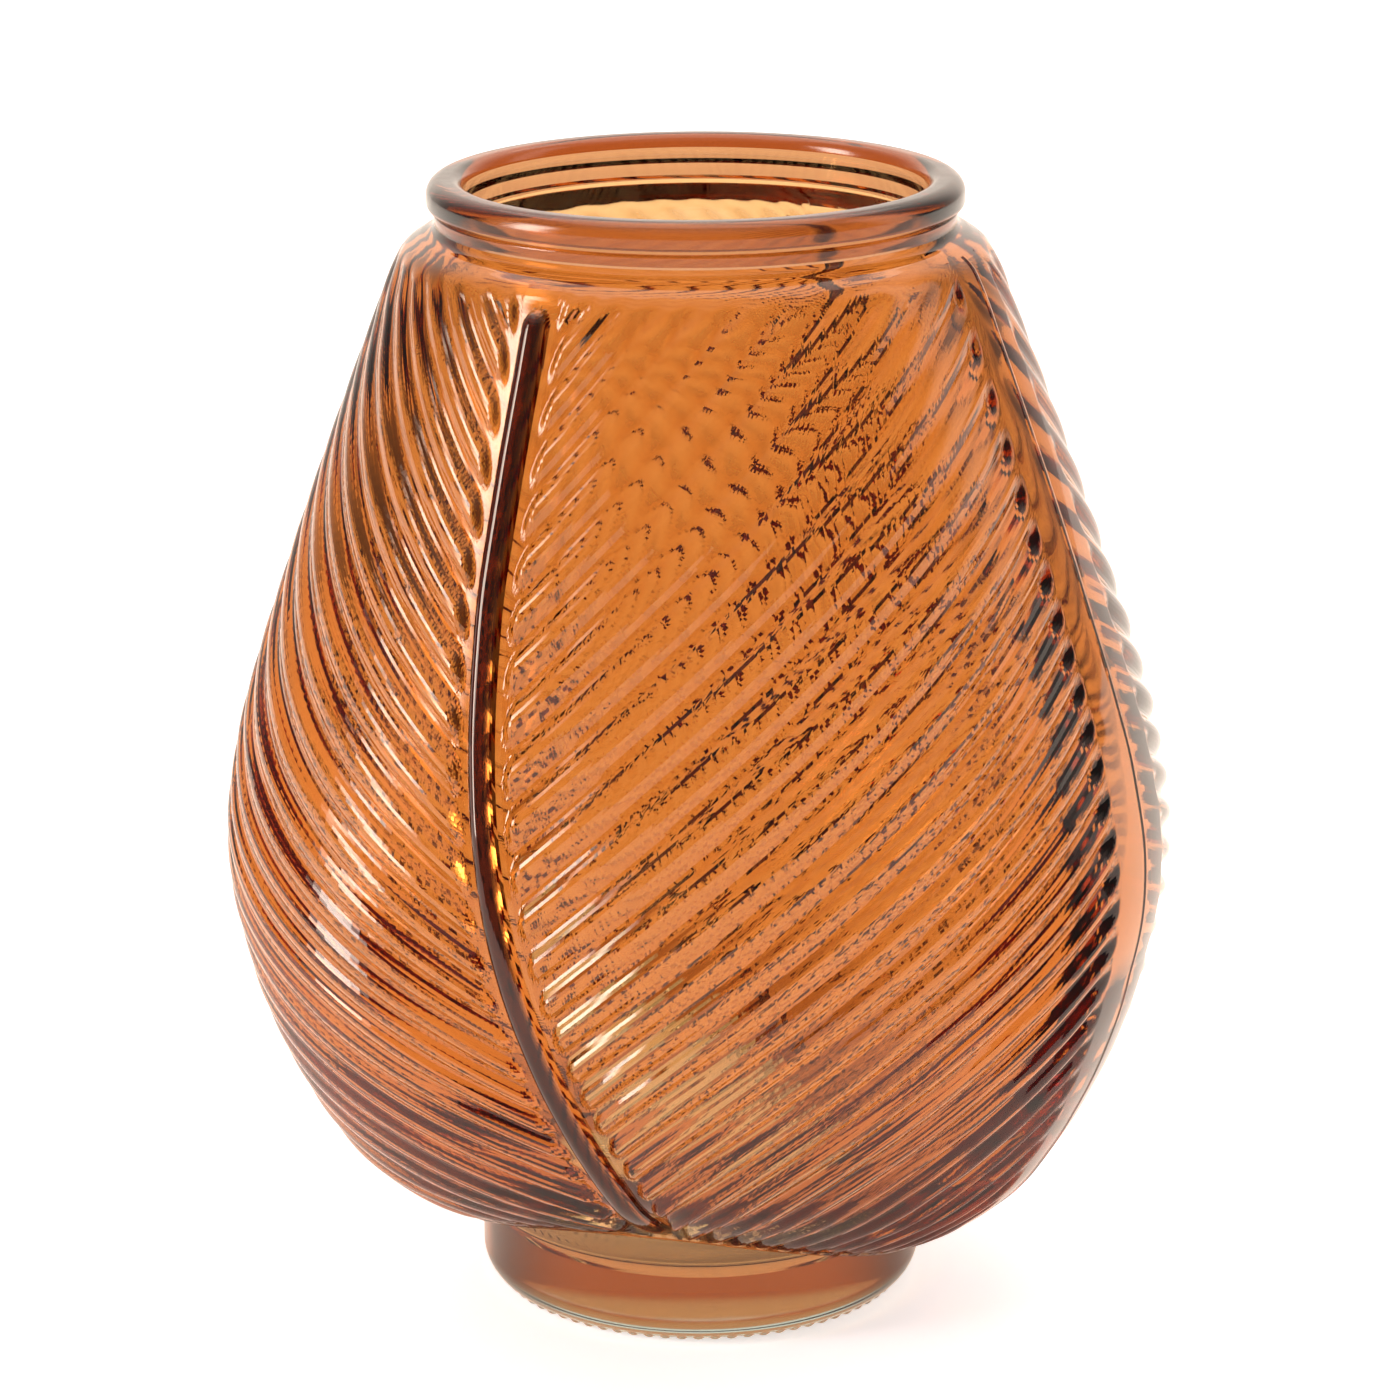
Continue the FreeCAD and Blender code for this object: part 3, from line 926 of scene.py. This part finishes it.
def glass_shader(tree, output, tint, inner_tint=None, bump_strength=0.02, haze=0.0):
    """Glass surface: tinted light through it, plain gloss outside, tinted gloss inside.

    tint colours light that crosses the face, inner_tint light that bounces off it from
    within the glass, which crosses the coating twice.  Bare glass has no inner_tint.
    """
    nodes, links = tree.nodes, tree.links
    ripple = nodes.new("ShaderNodeGroup")
    ripple.node_tree = ripple_group()
    ripple.inputs["Coarse"].default_value = 90.0
    ripple.inputs["Fine"].default_value = 420.0
    bump = nodes.new("ShaderNodeBump")
    bump.inputs["Strength"].default_value = bump_strength
    bump.inputs["Distance"].default_value = 0.0004
    links.new(ripple.outputs["Height"], bump.inputs["Height"])
    through = nodes.new("ShaderNodeBsdfRefraction")
    through.inputs["IOR"].default_value = GLASS_INDEX
    through.inputs["Roughness"].default_value = haze
    gloss = nodes.new("ShaderNodeBsdfGlossy")
    gloss.inputs["Roughness"].default_value = haze + 0.05
    fresnel = nodes.new("ShaderNodeFresnel")
    fresnel.inputs["IOR"].default_value = GLASS_INDEX
    if inner_tint is None:
        gloss.inputs["Color"].default_value = (1.0, 1.0, 1.0, 1.0)
    else:
        facing = nodes.new("ShaderNodeNewGeometry")
        within = facing.outputs["Backfacing"]
        colour = mixed(nodes, "MIX", within, LACQUER_SHEEN, inner_tint, links)
        links.new(colour, gloss.inputs["Color"])
    if isinstance(tint, bpy.types.NodeSocket):
        links.new(tint, through.inputs["Color"])
    else:
        through.inputs["Color"].default_value = (tint[0], tint[1], tint[2], 1.0)
    for shader in (through, gloss, fresnel):
        links.new(bump.outputs[0], shader.inputs["Normal"])
    mix = nodes.new("ShaderNodeMixShader")
    links.new(fresnel.outputs[0], mix.inputs[0])
    links.new(through.outputs[0], mix.inputs[1])
    links.new(gloss.outputs[0], mix.inputs[2])
    links.new(mix.outputs[0], output.inputs["Surface"])


def coated_glass(name, thin, thick, bump_strength, haze):
    """Clear glass with a sprayed amber coat, heavier on the foot, that stops at the heel, and
    painted shade, near black, where the coat attribute marks the midrib bead.
    """
    found = bpy.data.materials.get(name)
    if found:
        return found
    material, tree, output = new_material(name)
    nodes, links = tree.nodes, tree.links
    colours = bpy.context.scene.vase_colours
    mottle = nodes.new("ShaderNodeGroup")
    mottle.node_tree = ripple_group()
    mottle.inputs["Coarse"].default_value = 60.0
    mottle.inputs["Fine"].default_value = 900.0
    coat = nodes.new("ShaderNodeAttribute")
    coat.attribute_name = "coat"
    lying = Field(tree, coat.outputs["Fac"])
    patchy = Field(tree, mottle.outputs["Mottle"]) * 0.5
    gathered = at_most(lying, 1.0) * 0.6 + patchy
    tint = mixed(nodes, "MIX", gathered.socket, thin, thick, links)
    # Painted shade: the midrib bead is coloured near black in place of the dark that refraction
    # through it gives.
    bead_shade_share = smooth_step(lying, 0.95, 1.75)
    tint = mixed(nodes, "MIX", bead_shade_share.socket, tint, colours.bead_painted_shade, links)
    spot = nodes.new("ShaderNodeTexCoord")
    height = split_vector(tree, spot.outputs["Object"])[2]
    on_foot = 1.0 - smooth_step(height, 0.014, 0.024)
    tint = mixed(nodes, "MIX", on_foot.socket, tint, colours.coat_foot, links)
    wander = (Field(tree, mottle.outputs["Height"]) - 0.5) * 0.002
    covered = smooth_step(height + wander, 0.0036, 0.0056)
    tint = mixed(nodes, "MIX", covered.socket, colours.heel, tint, links)
    inner = mixed(nodes, "MULTIPLY", 1.0, tint, tint, links)
    glass_shader(tree, output, tint, inner, bump_strength, haze)
    return material


def amber_coat_with_bead_shade():
    """Glossy coat of the leaf relief and the foot, with painted shade on the midrib bead."""
    colours = bpy.context.scene.vase_colours
    return coated_glass("amber_coat_with_bead_shade", colours.coat, colours.coat_thick, 0.03, 0.0)


def satin_coat():
    """Slightly pitted coat of the collar and the bead, where the mould's neck ring closed."""
    colours = bpy.context.scene.vase_colours
    return coated_glass("satin_coat", colours.coat_rim, colours.coat_foot, 0.3, 0.12)


def bare_glass():
    """Uncoated glass, fire polished, a little grey-green."""
    found = bpy.data.materials.get("bare_glass")
    if found:
        return found
    material, tree, output = new_material("bare_glass")
    glass_shader(tree, output, tuple(bpy.context.scene.vase_colours.glass))
    return material


def joint_faces():
    """Faces where two pieces are one melt: light goes straight on."""
    found = bpy.data.materials.get("joint_faces")
    if found:
        return found
    material, tree, output = new_material("joint_faces")
    clear = tree.nodes.new("ShaderNodeBsdfTransparent")
    tree.links.new(clear.outputs[0], output.inputs["Surface"])
    return material


def floor_paper():
    """Translucent pale table sheet with a faint tooth, lit a little from below."""
    material, tree, output = new_material("floor_paper")
    nodes, links = tree.nodes, tree.links
    colours = bpy.context.scene.vase_colours
    noise = nodes.new("ShaderNodeTexNoise")
    noise.inputs["Scale"].default_value = 600.0
    spot = nodes.new("ShaderNodeTexCoord")
    links.new(spot.outputs["Object"], noise.inputs["Vector"])
    shader = nodes.new("ShaderNodeBsdfPrincipled")
    shader.inputs["Roughness"].default_value = 0.9
    paler = tuple(min(1.0, part * 1.04) for part in colours.floor)
    tone = mixed(nodes, "MIX", noise.outputs[0], tuple(colours.floor), paler, links)
    links.new(tone, shader.inputs["Base Color"])
    links.new(tone, shader.inputs["Emission Color"])
    shader.inputs["Emission Strength"].default_value = 0.65
    links.new(shader.outputs[0], output.inputs["Surface"])
    return material


# ---------------------------------------------------------------- operators
class VaseVeins(bpy.types.Operator):
    """Build the four vein fields, left and right of both midribs"""
    bl_idname = "vase.veins"
    bl_label = "Vein Fields"

    def execute(self, context):
        right = vein_field("veins_front_right_glass", 1)
        left = vein_field("veins_front_left_glass", -1)
        back_right = back_copy(right, "veins_back_right_glass")
        back_left = back_copy(left, "veins_back_left_glass")
        finish_piece(right, "amber_glass", "veins_front_right", "wall_front")
        finish_piece(left, "amber_glass", "veins_front_left", "wall_front")
        finish_piece(back_right, "amber_glass", "veins_back_right", "wall_back")
        finish_piece(back_left, "amber_glass", "veins_back_left", "wall_back")
        return {"FINISHED"}


class VaseMidribs(bpy.types.Operator):
    """Build the two midrib strips with their bead and channels"""
    bl_idname = "vase.midribs"
    bl_label = "Midribs"

    def execute(self, context):
        front = upright_strip("midrib_front_glass", 0.0, 0.0, 1.0)
        back = back_copy(front, "midrib_back_glass")
        finish_piece(front, "amber_glass", "midrib_front")
        finish_piece(back, "amber_glass", "midrib_back")
        return {"FINISHED"}


class VaseMargins(bpy.types.Operator):
    """Build the smooth margins that carry the mould seams"""
    bl_idname = "vase.margins"
    bl_label = "Seam Margins"

    def execute(self, context):
        half = context.scene.vase_sizes.margin_angle
        right = upright_strip("seam_margin_right_glass", 90.0, half, 0.0)
        left = back_copy(right, "seam_margin_left_glass")
        finish_piece(right, "amber_glass", "seam_margin_right")
        finish_piece(left, "amber_glass", "seam_margin_left")
        return {"FINISHED"}


def mm_points(corners, skin):
    return [(radius, height, skin) for radius, height in corners]


class VaseRings(bpy.types.Operator):
    """Build the smooth rings of wall: under the ledge, and over the shoulder"""
    bl_idname = "vase.rings"
    bl_label = "Ledge and Shoulder Rings"

    def execute(self, context):
        sizes = context.scene.vase_sizes
        ledge_in = inner_spot(LEDGE)
        outside = [spot for spot in OUTSIDE_POINTS if spot[1] < LEDGE - 1e-3]
        inside = [spot for spot in INSIDE_POINTS if spot[1] < ledge_in[1] - 1e-3]
        foot = mm_points(thinned(outside, 0.3), "coated")
        foot += [(outer_radius(LEDGE), LEDGE, "joint")]
        foot += mm_points([ledge_in] + thinned(inside, 0.8)[::-1], "bare")
        foot[-1] = foot[-1][:2] + ("joint",)

        def under_ledge(azimuth, radius, height):
            """The outside follows the ledge up and down round the foot."""
            if radius < FOOT_RADIUS - 0.1:
                return radius, height
            return radius, stretched(height, azimuth)

        top_in = inner_spot(SHOULDER)
        outside = [spot for spot in OUTSIDE_POINTS if spot[1] > SHOULDER + 1e-3]
        inside = [spot for spot in INSIDE_POINTS if spot[1] > top_in[1] + 1e-3]
        shoulder = [(outer_radius(SHOULDER), SHOULDER, "coated")]
        shoulder += mm_points(thinned(outside, 0.3), "coated")
        shoulder[-1] = shoulder[-1][:2] + ("joint",)
        shoulder += mm_points(thinned(inside, 0.8)[::-1], "bare")
        shoulder += [top_in + ("joint",)]
        columns = sizes.turned_columns
        low = turned_piece("ledge_ring_glass", foot, columns, under_ledge)
        high = turned_piece("shoulder_ring_glass", shoulder, columns)
        finish_piece(low, "amber_glass", "wall_front", "wall_back")
        finish_piece(high, "amber_glass", "wall_front", "wall_back")
        return {"FINISHED"}


class VaseRim(bpy.types.Operator):
    """Build the rim bead and the neck collar"""
    bl_idname = "vase.rim"
    bl_label = "Rim and Collar"

    def execute(self, context):
        sizes = context.scene.vase_sizes
        bead = rounded_outline([
            (MOUTH_RADIUS, BEAD_FOOT, 0.0, "joint"),
            (COLLAR_RADIUS - 0.15, BEAD_FOOT, 0.0, "coated"),
            (BEAD_RADIUS, BEAD_FOOT + 0.3, 1.1, "coated"),
            (BEAD_RADIUS, VASE_HEIGHT, 2.5, "coated"),
            (MOUTH_RADIUS, VASE_HEIGHT, 2.0, "bare"),
        ])
        collar = rounded_outline([
            (MOUTH_RADIUS, COLLAR_FOOT, 0.0, "joint"),
            (COLLAR_RADIUS, COLLAR_FOOT, 0.0, "coated"),
            (COLLAR_RADIUS + 0.25, BEAD_FOOT - 0.35, 0.3, "coated"),
            (COLLAR_RADIUS - 0.15, BEAD_FOOT, 0.0, "joint"),
            (MOUTH_RADIUS, BEAD_FOOT, 0.0, "bare"),
        ])
        columns = sizes.turned_columns
        coat = satin_coat()
        rim = turned_piece("rim_bead_glass", filled_in(bead, 0.6), columns, coat=coat)
        neck = turned_piece("neck_collar_glass", filled_in(collar, 0.6), columns, coat=coat)
        finish_piece(rim, "amber_glass", "rim_bead")
        finish_piece(neck, "amber_glass", "neck_collar")
        return {"FINISHED"}


class VaseFoot(bpy.types.Operator):
    """Build the foot disc and the heel ring with its gripping dots"""
    bl_idname = "vase.foot"
    bl_label = "Foot and Heel Dots"

    def execute(self, context):
        sizes = context.scene.vase_sizes
        split = 29.0
        push_up = 1.2
        disc = rounded_outline([
            (0.0, push_up, 0.0, "bare"),
            (27.0, push_up, 1.0, "bare"),
            (28.2, 0.0, 0.4, "bare"),
            (split, 0.0, 0.0, "joint"),
            (split, FLOOR_LEVEL, 0.0, "joint"),
            (FLOOR_RADIUS, FLOOR_LEVEL, 0.0, "bare"),
            (0.0, FLOOR_LEVEL, 0.0, "bare"),
        ])
        heel_round = 5.4
        heel = rounded_outline([
            (split, 0.0, 0.0, "coated"),
            (FOOT_RADIUS, 0.0, heel_round, "coated"),
            (FOOT_RADIUS, FLOOR_LEVEL, 0.0, "joint"),
            (split, FLOOR_LEVEL, 0.0, "joint"),
        ])
        count = sizes.dot_count
        centre_r = FOOT_RADIUS - heel_round
        dot_turn = math.radians(28.0)
        dot_reach = 0.95
        dot_rise = 0.32

        def dotted(azimuth, radius, height):
            """Push the heel outwards where a dot stands."""
            if radius < centre_r or height > heel_round:
                return radius, height
            lean = math.atan2(radius - centre_r, heel_round - height)
            pitch = 360.0 / count
            beside = (azimuth / pitch) % 1.0
            beside = min(beside, 1.0 - beside) * math.radians(pitch) * radius
            away = math.hypot(beside, (lean - dot_turn) * heel_round) / dot_reach
            rise = dot_rise * max(0.0, 1.0 - away * away)
            return radius + rise * math.sin(lean), height - rise * math.cos(lean)

        base = turned_piece("foot_disc_glass", filled_in(disc, 1.2), sizes.turned_columns)
        ring = turned_piece("heel_ring_glass", filled_in(heel, 0.5), count * 9, dotted)
        finish_piece(base, "clear_glass", "foot_base")
        finish_piece(ring, "clear_glass", "heel_dots")
        return {"FINISHED"}


VIEW_AZIMUTH = 24.0
VIEW_TILT = 16.39
VIEW_ROLL = -0.31
VIEW_DISTANCE = 0.7337
VIEW_HEIGHT = 0.3116
MIDDLE_HEIGHT = 0.09

# Bright patches of the surround: azimuth, elevation, half width, half height, strength.
SURROUND = ((180.0, 10.0, 0.92, 1.0, 1.32), (-76.0, 2.0, 0.2, 0.6, 17.0),
            (96.0, 20.0, 0.25, 0.6, 1.4))
DIM_SURROUND = 0.17
SEEN_SURROUND = 1.05


def direction_of(azimuth, elevation):
    """Unit vector towards an azimuth, from the viewer's side, and an elevation, in degrees."""
    turn = math.radians(VIEW_AZIMUTH + azimuth)
    lift = math.radians(elevation)
    return Vector((math.sin(turn) * math.cos(lift), -math.cos(turn) * math.cos(lift),
                   math.sin(lift)))


def soft_patch(look, azimuth, elevation, half_width, half_height):
    """Soft-edged bright rectangle of the surround; half sizes are sines of its half angles."""
    ahead = direction_of(azimuth, elevation)
    side = Vector((0.0, 0.0, 1.0)).cross(ahead).normalized()
    over = ahead.cross(side)

    def part(axis):
        return look[0] * axis.x + look[1] * axis.y + look[2] * axis.z

    across = 1.0 - smooth_step(size_of(part(side)), half_width * 0.35, half_width)
    upward = 1.0 - smooth_step(size_of(part(over)), half_height * 0.6, half_height)
    return across * upward * above(part(ahead), 0.0)


def studio_world():
    """White backdrop behind the vase, bright patches at its sides, paler overhead, else dim."""
    world = bpy.data.worlds.new("studio")
    world.use_nodes = True
    tree = world.node_tree
    tree.nodes.clear()
    output = tree.nodes.new("ShaderNodeOutputWorld")
    spot = tree.nodes.new("ShaderNodeTexCoord")
    look = split_vector(tree, spot.outputs["Generated"])
    glow = 0.0
    for *place, strength in SURROUND:
        glow = glow + soft_patch(look, *place) * strength
    glow = at_least(glow, smooth_step(look[2], 0.6, 0.9) * 0.6) + DIM_SURROUND
    path = tree.nodes.new("ShaderNodeLightPath")
    seen = Field(tree, path.outputs["Is Camera Ray"])
    background = tree.nodes.new("ShaderNodeBackground")
    background.inputs["Color"].default_value = (1.0, 1.0, 1.0, 1.0)
    tree.links.new(blend(glow, SEEN_SURROUND, seen).socket, background.inputs["Strength"])
    tree.links.new(background.outputs[0], output.inputs["Surface"])
    bpy.context.scene.world = world


def soft_box(name, azimuth, elevation, distance, width, energy):
    """Square soft box aimed at the middle of the vase."""
    light = bpy.data.lights.new(name, "AREA")
    light.size = width
    light.energy = energy
    lamp = placed(name, light)
    out = direction_of(azimuth, elevation)
    lamp.location = out * distance + Vector((0.0, 0.0, MIDDLE_HEIGHT))
    lamp.rotation_euler = out.to_track_quat("Z", "Y").to_euler()


class VaseStage(bpy.types.Operator):
    """Set the pale floor, the soft box, the surround and the camera"""
    bl_idname = "vase.stage"
    bl_label = "Stage, Lights and Camera"

    def execute(self, context):
        scene = context.scene
        sheet = bmesh.new()
        bmesh.ops.create_grid(sheet, x_segments=4, y_segments=4, size=6.0)
        data = bpy.data.meshes.new("floor")
        sheet.to_mesh(data)
        sheet.free()
        data.materials.append(floor_paper())
        placed("floor", data)

        soft_box("soft_box_top", 180.0, 72.0, 1.6, 1.6, 12.0)
        studio_world()

        lens = bpy.data.cameras.new("camera")
        lens.lens = 124.05
        lens.sensor_width = 36.0
        lens.clip_start = 0.05
        lens.shift_x = 0.0012
        camera = placed("camera", lens)
        turn = math.radians(VIEW_AZIMUTH)
        east, south = VIEW_DISTANCE * math.sin(turn), -VIEW_DISTANCE * math.cos(turn)
        spot = Vector((east, south, VIEW_HEIGHT))
        camera.matrix_world = (
            Matrix.Translation(spot) @ Matrix.Rotation(turn, 4, "Z")
            @ Matrix.Rotation(math.radians(90.0 - VIEW_TILT), 4, "X")
            @ Matrix.Rotation(math.radians(VIEW_ROLL), 4, "Z"))
        scene.camera = camera

        scene.view_settings.view_transform = "Standard"
        scene.cycles.use_denoising = True
        scene.cycles.max_bounces = 24
        scene.cycles.transmission_bounces = 24
        scene.cycles.glossy_bounces = 12
        scene.cycles.transparent_max_bounces = 48
        scene.cycles.blur_glossy = 0.0
        return {"FINISHED"}


PIECE_OPERATORS = (VaseVeins, VaseMidribs, VaseMargins, VaseRings, VaseRim, VaseFoot, VaseStage)


class VasePanel(bpy.types.Panel):
    """Steps that build the vase, in order"""
    bl_idname = "VIEW3D_PT_vase"
    bl_label = "Leaf Vase"
    bl_space_type = "VIEW_3D"
    bl_region_type = "UI"
    bl_category = "Vase"

    def draw(self, context):
        for operator in PIECE_OPERATORS:
            self.layout.operator(operator.bl_idname)
        for settings in (context.scene.vase_sizes, context.scene.vase_colours):
            for name in settings.bl_rna.properties.keys():
                if name not in ("rna_type", "name"):
                    self.layout.prop(settings, name)


CLASSES = (VaseSizes, VaseColours) + PIECE_OPERATORS + (VasePanel,)


def register():
    for item in CLASSES:
        bpy.utils.register_class(item)
    bpy.types.Scene.vase_sizes = PointerProperty(type=VaseSizes)
    bpy.types.Scene.vase_colours = PointerProperty(type=VaseColours)


def unregister():
    del bpy.types.Scene.vase_colours
    del bpy.types.Scene.vase_sizes
    for item in reversed(CLASSES):
        bpy.utils.unregister_class(item)


def main():
    register()
    bpy.ops.vase.veins()
    bpy.ops.vase.midribs()
    bpy.ops.vase.margins()
    bpy.ops.vase.rings()
    bpy.ops.vase.rim()
    bpy.ops.vase.foot()
    bpy.data.objects.remove(profile_holder())
    bpy.ops.vase.stage()


if __name__ == "__main__":
    main()
